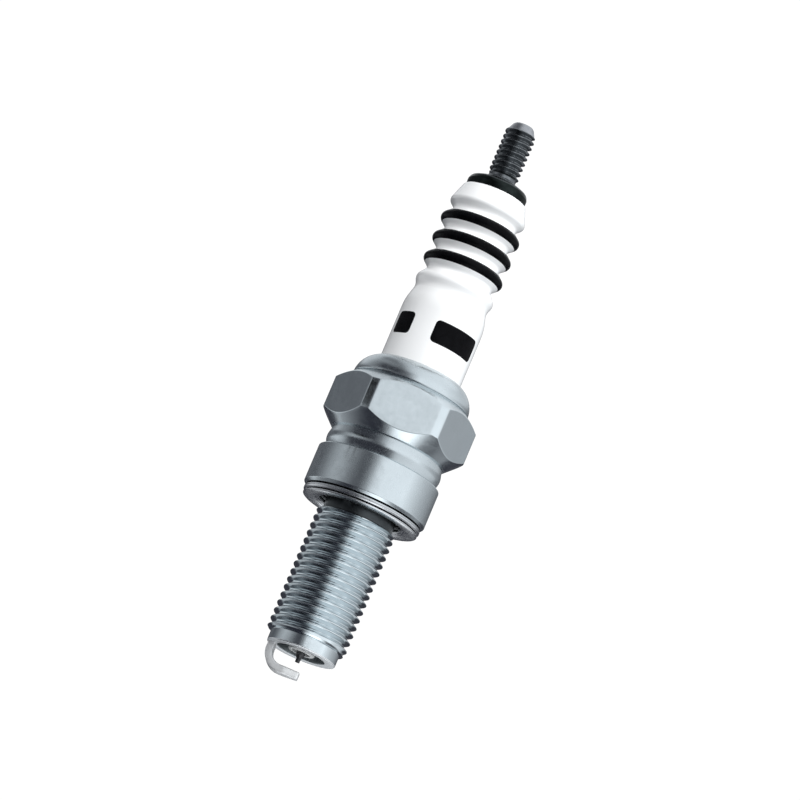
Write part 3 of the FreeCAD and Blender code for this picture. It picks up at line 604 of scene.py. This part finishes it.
# Radii and heights of the gasket. The dents are where its inner fold is pressed inwards.
GASKET_TOP = 1.1
SHEET = 0.26
UPPER_OUT_R = 7.01
UPPER_IN_R = 5.3
INNER_FOLD_R = 5.39
DENTS = 3
DENT_DEPTH = 0.42
DENT_WIDTH = 0.42
DENT_R = 5.2
ARCH_R = 6.3
ARCH_RISE = 0.22
ARCH_HALF_IN = 0.85
ARCH_HALF_OUT = 0.9
LOWER_TOP_Z = 0.23
LOWER_EDGE_TOP_Z = 0.28
OUTER_FOLD_R = 0.325
INNER_FOLD_HEIGHT = 0.24
INNER_GAP_Z = 0.42
INNER_GAP_R = 0.02
UPPER_GAP_Z = 0.76
UPPER_GAP_R = 0.08


def fold_inset(angle):
    """How far the inner fold is pressed towards the axis, at evenly spaced dents."""
    spacing = FULL / DENTS
    from_dent = (angle % spacing + spacing / 2) % spacing - spacing / 2
    return DENT_DEPTH * math.exp(-(from_dent * DENT_R / DENT_WIDTH) ** 2)


def arched_underside():
    """The lower layer's underside, from its inner edge, down to z = 0 and up to its outer edge."""
    points = []
    for turn in np.radians(np.linspace(-80, 90, 35)):
        half = ARCH_HALF_OUT if turn > 0 else ARCH_HALF_IN
        points.append(np.array((ARCH_R + half * math.sin(turn), ARCH_RISE * (1 - math.cos(turn)))))
    return points


def pressed_fold(centre_r, centre_z, radius):
    """The outer fold, with the fine line that pressing leaves round its middle."""
    line_depth = 0.1
    line_half_angle = 0.15
    points = []
    for angle in np.radians(np.linspace(-90, 90, 49)):
        reach = radius - line_depth * math.exp(-(angle / line_half_angle) ** 2)
        points.append(np.array((centre_r + reach * math.cos(angle),
                                centre_z + radius * math.sin(angle))))
    return points


def make_gasket():
    """Sheet folded to an S in three layers, its inner fold pressed inwards at the dents."""
    edge_r = ARCH_R + ARCH_HALF_OUT
    under_top = GASKET_TOP - SHEET
    lower_layer = arched_underside() + rounded([
        (edge_r, ARCH_RISE + 0.01),
        (edge_r, LOWER_EDGE_TOP_Z, 0.05),
        (edge_r - 0.25, LOWER_EDGE_TOP_Z + 0.01),
        (ARCH_R, LOWER_TOP_Z, 0.5),
        (ARCH_R - 0.7, INNER_GAP_Z - INNER_GAP_R),
    ])
    outer_fold = pressed_fold(UPPER_OUT_R, GASKET_TOP - OUTER_FOLD_R, OUTER_FOLD_R) + rounded([
        (UPPER_OUT_R - 0.2, GASKET_TOP),
        (UPPER_IN_R, GASKET_TOP, 0.05),
        (UPPER_IN_R, under_top, 0.05),
        (UPPER_OUT_R - 0.2, under_top),
    ]) + fold(UPPER_OUT_R, UPPER_GAP_Z, UPPER_GAP_R, 90, -90, 8)

    def profile(angle):
        inside = INNER_FOLD_R - fold_inset(angle)
        inner_gap = fold(inside, INNER_GAP_Z, INNER_GAP_R, 270, 90, 8)
        inner_fold = fold(inside, INNER_GAP_Z + INNER_GAP_R, INNER_FOLD_HEIGHT, 90, 270, 16)
        return lower_layer + inner_gap + outer_fold + inner_fold

    piece = skin("gasket_fold", even_angles(216), profile, True, [steel_gasket])
    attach(piece, GASKET)
    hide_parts("gasket")


# ---------------------------------------------------------------- ground electrode

# The bar stands at -X, turned a little about the plug's axis by BAR_TURN.
BAR_OUT_X = 4.0
BAR_THICK = 0.92
BAR_HALF_WIDE = 1.0
BAR_END_HALF = 0.6
BAR_BEND = 2.4
BAR_TAPER_X = -1.0
BAR_END_X = 0.78
BAR_CORNER = 0.17
BAR_END_SHRINK = 0.93
BAR_TURN = math.radians(-8)


def bar_stations(low):
    """Places along the bar's middle as (x, z, direction): leg, bend and arm."""
    middle = BAR_BEND - BAR_THICK / 2
    bend_x = -BAR_OUT_X + BAR_BEND
    bend_z = low + BAR_BEND
    arm_z = low + BAR_THICK / 2
    stations = []
    for z in np.linspace(END_Z + 0.02, bend_z, 5):
        stations.append((-BAR_OUT_X + BAR_THICK / 2, z, 0.0))
    for turn in np.linspace(0, math.pi / 2, 15)[1:]:
        stations.append((bend_x - middle * math.cos(turn), bend_z - middle * math.sin(turn), turn))
    for x in np.linspace(bend_x, BAR_END_X - 0.06, 14)[1:]:
        stations.append((x, arm_z, math.pi / 2))
    stations.append((BAR_END_X, arm_z, math.pi / 2))
    return stations


def make_ground_electrode():
    """Bar bent from the shell's end under the tip, its arm narrowed towards its end."""
    stations = bar_stations(low_z("ground_electrode"))
    taper_long = BAR_END_X - BAR_TAPER_X
    spots = []
    for n, (x, z, turn) in enumerate(stations):
        on_arm = turn > 1.5
        narrow = max(0.0, min(1.0, (x - BAR_TAPER_X) / taper_long)) if on_arm else 0.0
        shrink = BAR_END_SHRINK if n == len(stations) - 1 else 1.0
        half_wide = (BAR_HALF_WIDE - (BAR_HALF_WIDE - BAR_END_HALF) * narrow) * shrink
        half_thick = BAR_THICK / 2 * shrink
        for across, through in bar_section(half_wide, half_thick, BAR_CORNER):
            spots.append((x - through * math.cos(turn), across, z - through * math.sin(turn)))
    ring = len(bar_section(1, 1, BAR_CORNER))
    faces = []
    for n in range(len(stations) - 1):
        for k in range(ring):
            a = n * ring + k
            b = n * ring + (k + 1) % ring
            faces.append((a, b, b + ring, a + ring))
    faces.append(tuple(range(ring)))
    faces.append(tuple(range(len(spots) - ring, len(spots))))
    turn = Matrix.Rotation(BAR_TURN, 3, "Z")
    spots = [tuple(turn @ (Vector(p) * MM)) for p in spots]
    piece = make_piece("ground_bar", spots, faces, [alloy_ground], sharp=40)
    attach(piece, PLUG)
    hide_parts("ground_electrode")


def bar_section(half_wide, half_thick, corner, steps=4):
    """A rectangle with rounded corners, as (across, through) points."""
    points = []
    for quarter in range(4):
        side_across = (1, -1, -1, 1)[quarter]
        side_through = (1, 1, -1, -1)[quarter]
        for k in range(steps + 1):
            angle = (quarter + k / steps) * math.pi / 2
            points.append((side_across * (half_wide - corner) + corner * math.cos(angle),
                           side_through * (half_thick - corner) + corner * math.sin(angle)))
    return points


# ---------------------------------------------------------------- insulator

NOSE_Z = low_z("insulator")
TOP_Z = high_z("insulator") - 0.16
TIP_HOLE_R = 1.12
STEM_HOLE_R = 1.78
STEM_R = 3.3
INNER_BODY_R = 5.85
NECK_IN_LIP_R = 4.9
BARREL_R = mounts["insulator_barrel"]["dims"]["r_mm"]
RIB_R = 5.29
RIB_PITCH = 2.65
RIBS = [32.2 + RIB_PITCH * k for k in range(3)]
GROOVE_R = 3.77
GROOVE_ABOVE_RIB = 1.35
BARE_AND_SHADE_BELOW_Z = -6
BAND_BELOW_CREST = 0.59
BAND_ABOVE_CREST = 0.68
# The insulator's materials by number.
GLAZE, PRINT, BARE_AND_SHADE = range(3)


def insulator_line():
    """The outline from the tip's hole round the outside and back down the stem's hole."""
    inside_shell = [
        (TIP_HOLE_R, -5.0),
        (TIP_HOLE_R, NOSE_Z),
        (1.62, NOSE_Z, 0.25),
        (2.45, -8.4, 0.2),
        (STEM_R, -7.55, 0.1),
        (STEM_R, 4.0, 0.1),
        (INNER_BODY_R, 6.55, 0.1),
        (INNER_BODY_R, 13.0, 0.1),
        (NECK_IN_LIP_R, 13.95, 0.1),
        (NECK_IN_LIP_R, 18.1, 0.1),
    ]
    barrel = [
        (BARREL_R, 18.65, 0.1),
        (BARREL_R, 26.3, 6.0),
        (4.5, 28.4, 1.5),
        (4.97, 29.6, 0.8),
        (3.95, 30.95, 0.5),
    ]
    ribs = []
    for rib in RIBS:
        ribs += [(RIB_R, rib, 0.6), (GROOVE_R, rib + GROOVE_ABOVE_RIB, 0.5)]
    top = [
        (4.8, 39.75, 0.5),
        (3.95, 42.1, 0.12),
        (3.8, TOP_Z, 0.03),
        (STEM_HOLE_R, TOP_Z, 0.02),
        (STEM_HOLE_R, -4.3, 0.05),
        (TIP_HOLE_R + 0.02, -4.98),
    ]
    return rounded(inside_shell + barrel + ribs + top, 12)


def insulator_slot(r, z):
    """Which of the insulator's materials a face at (r, z) has."""
    # The nose low in the shell: bare ceramic, painted darker grey as shade.
    if z < BARE_AND_SHADE_BELOW_Z:
        return BARE_AND_SHADE
    printed = any(rib - BAND_BELOW_CREST < z < rib + BAND_ABOVE_CREST for rib in RIBS)
    return PRINT if printed and r > STEM_R else GLAZE


def make_insulator():
    """Glazed ceramic with three ribs whose crests are printed black."""
    edges = []
    for rib in RIBS:
        edges += [rib - BAND_BELOW_CREST, rib + BAND_ABOVE_CREST]
    points = with_rows_at(insulator_line(), edges)
    piece = skin("insulator_body", even_angles(160), lambda angle: points, True,
                 [white_glaze, black_ink, bare_ceramic_and_shade], insulator_slot)
    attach(piece, PLUG)
    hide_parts("insulator")


def with_rows_at(points, heights):
    """The line with one more point wherever its outside, going up, crosses one of the heights."""
    result = []
    for a, b in zip(points[:-1], points[1:]):
        result.append(a)
        for z in heights:
            if a[1] < z < b[1]:
                f = (z - a[1]) / (b[1] - a[1])
                result.append(a + (b - a) * f)
    result.append(points[-1])
    return np.array(result)


# ---------------------------------------------------------------- terminal stud

STUD_R = mounts["terminal_stud"]["dims"]["r_mm"]
STUD_LOW_Z = low_z("terminal_stud")
STUD_END = high_z("terminal_stud")
STUD_SHANK_R = 1.55
STUD_NECK_R = 1.7
STUD_PITCH = 0.7
STUD_ROWS = 18
STUD_TURNS = 8.6
STUD_THREAD_LOW = 44.72
STUD_THREAD_HIGH = 50.48
STUD_CHAMFER = 0.14
FLANGE_R = 3.75
FLANGE_EDGE_Z = 43.2
FLANGE_TOP_Z = 44.02
# The stud's materials by number.
FLANGE, OXIDE, BARE_TIP, SHOULDER_PAINTED_HIGHLIGHT = range(4)


def stud_below():
    """The stud up to the foot of its thread."""
    return rounded([
        (0, STUD_LOW_Z),
        (STUD_SHANK_R - 0.3, STUD_LOW_Z, 0.05),
        (STUD_SHANK_R, STUD_LOW_Z + 0.3, 0.05),
        (STUD_SHANK_R, TOP_Z, 0.02),
        (FLANGE_R - 0.03, TOP_Z, 0.1),
        (FLANGE_R, 42.95, 0.3),
        (FLANGE_R - 0.2, 43.45, 0.5),
        (FLANGE_R - 1.0, 43.8, 0.3),
        (STUD_NECK_R + 0.2, FLANGE_TOP_Z, 0.15),
        (STUD_NECK_R, 44.3, 0.1),
        (STUD_NECK_R, STUD_THREAD_LOW - 0.1),
    ])


def stud_slot(r, z):
    """Which of the stud's materials a face at height z has."""
    if z < FLANGE_EDGE_Z:
        return FLANGE
    # The flange's upper rounding: painted highlight.
    if z < FLANGE_TOP_Z:
        return SHOULDER_PAINTED_HIGHLIGHT
    return OXIDE if z < STUD_THREAD_HIGH - 0.01 else BARE_TIP


def make_stud():
    """Flange, plain shank, M4 thread and conical tip; the part in the bore stays plain."""
    below = stud_below()
    levels = np.arange(STUD_THREAD_LOW - 0.02, STUD_THREAD_HIGH - 0.02, STUD_PITCH / STUD_ROWS)
    from_ends = np.minimum(levels - STUD_THREAD_LOW, STUD_THREAD_HIGH - levels)
    limit = STUD_R - STUD_CHAMFER + np.minimum(from_ends, STUD_CHAMFER)
    above = rounded([
        (STUD_NECK_R + 0.02, STUD_THREAD_HIGH),
        (1.32, STUD_END - 0.2, 0.08),
        (1.12, STUD_END, 0.08),
        (0, STUD_END),
    ])

    def profile(angle):
        cut = thread_radius(angle, levels, STUD_R, STUD_PITCH, STUD_THREAD_LOW - 0.12, STUD_TURNS)
        threads = np.stack((soft_min(cut, limit, 0.02), levels), axis=1)
        return np.vstack((below, threads, above))

    piece = skin("stud_body", even_angles(144), profile, False,
                 [stud_black, stud_dark, stud_bare, stud_shoulder_painted_highlight], stud_slot)
    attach(piece, PLUG)
    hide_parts("terminal_stud")


# ---------------------------------------------------------------- printed mark

MARK_BLOCKS = ((-72, -38), (-6, 68))
MARK_LOW_Z = 21.6
MARK_HIGH_Z = 24.4
MARK_CORNER = 0.55
PRINT_OUTSIDE = 0.006
PRINT_INSIDE = -0.02


def print_spots(around, depth, rows):
    """One curved sheet of a printed block with rounded corners, as columns of points."""
    reach = BARREL_R + depth
    spots = []
    for angle in around:
        from_edge = min(angle - around[0], around[-1] - angle) * BARREL_R
        missing = max(MARK_CORNER - from_edge, 0)
        inset = MARK_CORNER - math.sqrt(MARK_CORNER ** 2 - missing ** 2)
        turned = angle - math.pi / 2
        for z in np.linspace(MARK_LOW_Z + inset, MARK_HIGH_Z - inset, rows):
            spots.append((reach * math.cos(turned) * MM, reach * math.sin(turned) * MM, z * MM))
    return spots


def print_faces(columns, rows):
    """Both sheets of a printed block and the narrow strips that join their edges."""
    back = columns * rows
    faces = []
    for i in range(columns - 1):
        for j in range(rows - 1):
            a = i * rows + j
            quad = (a, a + rows, a + rows + 1, a + 1)
            faces.append(quad)
            faces.append(tuple(back + v for v in reversed(quad)))
    for i in range(columns - 1):
        for row in (0, rows - 1):
            a = i * rows + row
            faces.append((a, a + rows, back + a + rows, back + a))
    for j in range(rows - 1):
        for column in (0, columns - 1):
            a = column * rows + j
            faces.append((a, a + 1, back + a + 1, back + a))
    return faces


def make_mark():
    """Two plain printed blocks on the barrel, the thickness of a print. Degrees are measured
    from the camera's side."""
    columns = 40
    rows = 9
    share = (1 - np.cos(np.linspace(0, math.pi, columns))) / 2
    for n, (first, last) in enumerate(MARK_BLOCKS):
        around = np.radians(first + (last - first) * share)
        spots = print_spots(around, PRINT_OUTSIDE, rows) + print_spots(around, PRINT_INSIDE, rows)
        faces = print_faces(columns, rows)
        piece = make_piece("mark_block_%d" % (n + 1), spots, faces, [black_ink], sharp=50)
        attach(piece, PLUG)


# ---------------------------------------------------------------- pieces kept from the CAD

def inner_looks():
    """A material for each node that keeps its CAD mesh."""
    electrode = dark_metal("electrode_alloy", (0.10, 0.10, 0.105), (0.2, 0.2, 0.205), 1.0, 0.42, 1.5)
    iridium = dark_metal("iridium_wire", (0.04, 0.04, 0.042), (0.1, 0.1, 0.105), 1.0, 0.35, 1)
    weld = dark_metal("weld_metal", (0.05, 0.05, 0.052), (0.12, 0.12, 0.125), 1.0, 0.4, 2)
    copper = dark_metal("copper_metal", (0.6, 0.27, 0.16), (0.75, 0.38, 0.25), 1.0, 0.35, 1)
    packing = dark_metal("packing_steel", (0.4, 0.4, 0.41), (0.55, 0.55, 0.56), 1.0, 0.35, 1)
    carbon_glass = powder("resistor_glass", (0.05, 0.05, 0.05), (0.13, 0.13, 0.13), 0.6)
    talc = powder("talc_powder", (0.74, 0.72, 0.68), (0.86, 0.84, 0.8), 0.9)
    copper_glass = powder("copper_glass", (0.2, 0.12, 0.09), (0.42, 0.25, 0.18), 0.4)
    return {
        "centre_electrode": electrode,
        "iridium_tip": iridium,
        "tip_weld_bead": weld,
        "centre_electrode_core": copper,
        "nose_seal_washer": packing,
        "lower_seal_ring": packing,
        "upper_seal_ring": packing,
        "resistor": carbon_glass,
        "talc_seal": talc,
        "lower_glass_seal": copper_glass,
        "upper_glass_seal": copper_glass,
    }


def finish_cad_nodes():
    """Puts the inner materials into the material slots of the CAD nodes."""
    for node, material in inner_looks().items():
        data = frame["nodes"][node].data
        for k in range(len(data.materials)):
            data.materials[k] = material
        if not data.materials:
            data.materials.append(material)


# ---------------------------------------------------------------- studio

# Brightness round the plug, by degrees from the camera's side towards +X, in bands from low to
# high: UNDER is what undersides mirror, LOWER the lower roundings, LEVEL upright faces, HIGH the
# upper roundings.
UNDER = (
    (-180, 1.1), (-168, 0.9), (-156, 0.5), (-130, 0.35), (-116, 0.25), (-85, 0.2), (-60, 0.04),
    (0, 0.04), (20, 0.9), (85, 0.9), (102, 0.3), (135, 0.3), (147, 1.1), (180, 1.1),
)
LOWER = (
    (-180, 0.05), (-146, 0.04), (-137, 0.8), (-108, 0.8), (-94, 0.5), (-82, 0.04),
    (10, 0.03), (18, 0.8), (60, 1.05), (102, 0.9), (125, 0.7), (140, 0.05), (180, 0.05),
)
LEVEL = (
    (-180, 0.05), (-165, 0.1), (-150, 0.15), (-125, 0.12), (-108, 0.2), (-92, 0.42),
    (-76, 0.6), (-60, 0.5), (-44, 0.28), (-32, 0.12), (-19, 0.09), (-7, 0.46), (0, 1.12),
    (7, 1.25), (50, 1.2), (62, 1.3), (75, 0.98), (100, 0.62), (125, 0.42), (145, 0.24),
    (165, 0.12), (180, 0.05),
)
HIGH = (
    (-180, 0.75), (-135, 0.7), (-118, 0.4), (-98, 0.24), (-84, 0.05), (-34, 0.03),
    (-20, 0.2), (-8, 0.6), (2, 1.15), (60, 1.2), (100, 0.9), (140, 0.7), (180, 0.75),
)
# Brightness straight above and below, by how far the direction leans towards +X, from -1 to 1.
ABOVE = (
    (-1, 0.6), (-0.75, 0.5), (-0.62, 0.35), (-0.5, 0.2), (-0.42, 0.2), (-0.36, 0.4),
    (-0.28, 0.65), (-0.05, 0.95), (0.2, 1.1), (0.6, 1.1), (1, 0.7),
)
BELOW = (
    (-1, 0.5), (-0.85, 0.4), (-0.66, 0.25), (-0.56, 0.04), (-0.17, 0.02), (-0.12, 0.4),
    (-0.06, 1.0), (0.04, 1.6), (0.3, 2.0), (0.42, 1.0), (0.5, 0.2), (0.7, 0.1), (0.85, 0.4),
    (1, 0.5),
)
# Heights of the direction, from -1 straight down to 1 straight up, where one band turns into the
# next.
BELOW_TO_UNDER = (-0.74, -0.64)
UNDER_TO_LOWER = (-0.5, -0.44)
LOWER_TO_LEVEL = (-0.06, 0.06)
LEVEL_TO_HIGH = (0.29, 0.41)
HIGH_TO_ABOVE = (0.66, 0.78)
BACKDROP = (1.05, 1.05, 1.05, 1)


def make_world():
    """Light and dark stretches that mirrors see, and a plain backdrop that the camera sees."""
    world = bpy.data.worlds.new("studio")
    bpy.context.scene.world = world
    world.use_nodes = True
    tree = world.node_tree
    tree.nodes.clear()

    def node(kind, **settings):
        made = tree.nodes.new(kind)
        for name, value in settings.items():
            setattr(made, name, value)
        return made

    def maths(operation, first, second):
        made = node("ShaderNodeMath", operation=operation)
        for k, value in enumerate((first, second)):
            if isinstance(value, (int, float)):
                made.inputs[k].default_value = value
            else:
                tree.links.new(value, made.inputs[k])
        return made.outputs[0]

    split = node("ShaderNodeSeparateXYZ")
    tree.links.new(node("ShaderNodeTexCoord").outputs["Generated"], split.inputs[0])
    round_y = maths("MULTIPLY", split.outputs["Y"], -1.0)
    azimuth = maths("ARCTAN2", split.outputs["X"], round_y)
    share = maths("ADD", maths("DIVIDE", azimuth, FULL), 0.5)

    def ramp(stops, source, reach):
        """Brightness by direction, in a slightly cool grey. Stops run from -reach to reach."""
        made = node("ShaderNodeValToRGB")
        elements = made.color_ramp.elements
        while len(elements) < len(stops):
            elements.new(0.5)
        for element, (spot, value) in zip(elements, stops):
            element.position = 0.5 + spot / (2 * reach)
            element.color = (value * 0.965, value, value * 1.025 + 0.01, 1)
        tree.links.new(source, made.inputs["Fac"])
        return made.outputs["Color"]

    def blend(fraction, first, second):
        made = node("ShaderNodeMix", data_type="RGBA")
        tree.links.new(fraction, made.inputs["Factor"])
        for socket_name, value in (("A", first), ("B", second)):
            into = [s for s in made.inputs if s.name == socket_name and s.type == "RGBA"][0]
            if isinstance(value, tuple):
                into.default_value = value
            else:
                tree.links.new(value, into)
        return [s for s in made.outputs if s.type == "RGBA"][0]

    def passing(heights):
        made = node("ShaderNodeMapRange", interpolation_type="SMOOTHSTEP")
        tree.links.new(split.outputs["Z"], made.inputs["Value"])
        made.inputs["From Min"].default_value = heights[0]
        made.inputs["From Max"].default_value = heights[1]
        return made.outputs["Result"]

    lean = maths("ADD", maths("MULTIPLY", split.outputs["X"], 0.5), 0.5)
    lit = blend(passing(UNDER_TO_LOWER), ramp(UNDER, share, 180), ramp(LOWER, share, 180))
    lit = blend(passing(LOWER_TO_LEVEL), lit, ramp(LEVEL, share, 180))
    lit = blend(passing(LEVEL_TO_HIGH), lit, ramp(HIGH, share, 180))
    lit = blend(passing(HIGH_TO_ABOVE), lit, ramp(ABOVE, lean, 1))
    lit = blend(passing(BELOW_TO_UNDER), ramp(BELOW, lean, 1), lit)
    seen = node("ShaderNodeLightPath").outputs["Is Camera Ray"]
    colour = blend(seen, lit, BACKDROP)
    background = node("ShaderNodeBackground")
    tree.links.new(colour, background.inputs["Color"])
    tree.links.new(background.outputs[0], node("ShaderNodeOutputWorld").inputs[0])


def make_lamp(name, place, size, watts):
    """A soft lamp aimed at the plug, for its white parts. Mirrors see the world instead."""
    data = bpy.data.lights.new(name, "AREA")
    data.shape = "DISK"
    data.size = size
    data.energy = watts
    lamp = bpy.data.objects.new(name, data)
    bpy.context.scene.collection.objects.link(lamp)
    lamp.location = place
    lamp.rotation_mode = "QUATERNION"
    lamp.rotation_quaternion = (-Vector(place)).to_track_quat("-Z", "Y")
    lamp.visible_glossy = False


def make_floor():
    """A pale disc well under the plug, so that a camera looking up from below stays above it."""
    surface = Surface("floor_pale", (0.9, 0.9, 0.9), 0.0, 0.8)
    surface.vary("Base Color", surface.noise(3, 3), (0.89, 0.89, 0.89), (0.91, 0.91, 0.91))
    socket(surface.shader, "Emission Color", (1, 1, 1, 1))
    socket(surface.shader, "Emission Strength", 0.8)
    reach = 1.5
    height = -0.9
    sides = 96
    spots = [(0, 0, height)]
    for radius in (0.4 * reach, reach):
        for angle in even_angles(sides):
            spots.append((radius * math.cos(angle), radius * math.sin(angle), height))
    faces = []
    for k in range(sides):
        here = 1 + k
        there = 1 + (k + 1) % sides
        faces.append((0, here, there))
        faces.append((here, here + sides, there + sides, there))
    floor = make_piece("floor", spots, faces, [surface.material])
    floor.visible_glossy = False
    floor.visible_diffuse = False


def make_flag():
    """A small black card that only mirrors see, off the hexagon's left corner, slightly bowed."""
    turn = math.radians(-60)
    distance = 35
    centre_z = 21.2
    half_wide = 10
    half_high = 4.6
    bow = 0.02
    count = 5
    away = np.array((math.sin(turn), -math.cos(turn), 0))
    side = np.array((math.cos(turn), math.sin(turn), 0))
    corner = HEX_CORNER * np.array((math.sin(turn / 2), -math.cos(turn / 2), 0))
    middle = corner + distance * away + np.array((0, 0, centre_z))
    spots = []
    for height in np.linspace(-half_high, half_high, count):
        for across in np.linspace(-half_wide, half_wide, count):
            spot = middle + side * across - away * bow * across ** 2 + np.array((0, 0, height))
            spots.append(tuple(spot * MM))
    faces = []
    for row in range(count - 1):
        for column in range(count - 1):
            a = count * row + column
            faces.append((a, a + 1, a + count + 1, a + count))
    surface = Surface("flag_black", (0.002, 0.002, 0.002), 0.0, 1.0)
    surface.vary("Base Color", surface.noise(60, 2), (0.001, 0.001, 0.001), (0.003, 0.003, 0.003))
    socket(surface.shader, "Specular IOR Level", 0.0)
    flag = make_piece("flag", spots, faces, [surface.material])
    flag.visible_camera = False
    flag.visible_diffuse = False
    flag.visible_shadow = False


make_shell()
make_gasket()
make_ground_electrode()
make_insulator()
make_stud()
make_mark()
finish_cad_nodes()
make_world()
make_lamp("key", (0.45, -0.6, 0.5), 0.4, 4.5)
make_lamp("fill", (-0.6, -0.5, 0.6), 0.5, 4.1)
make_lamp("back", (0.1, 0.8, 0.5), 0.6, 4.0)
make_floor()
make_flag()
bpy.context.scene.view_settings.view_transform = "Standard"
bpy.context.scene.view_settings.look = "None"
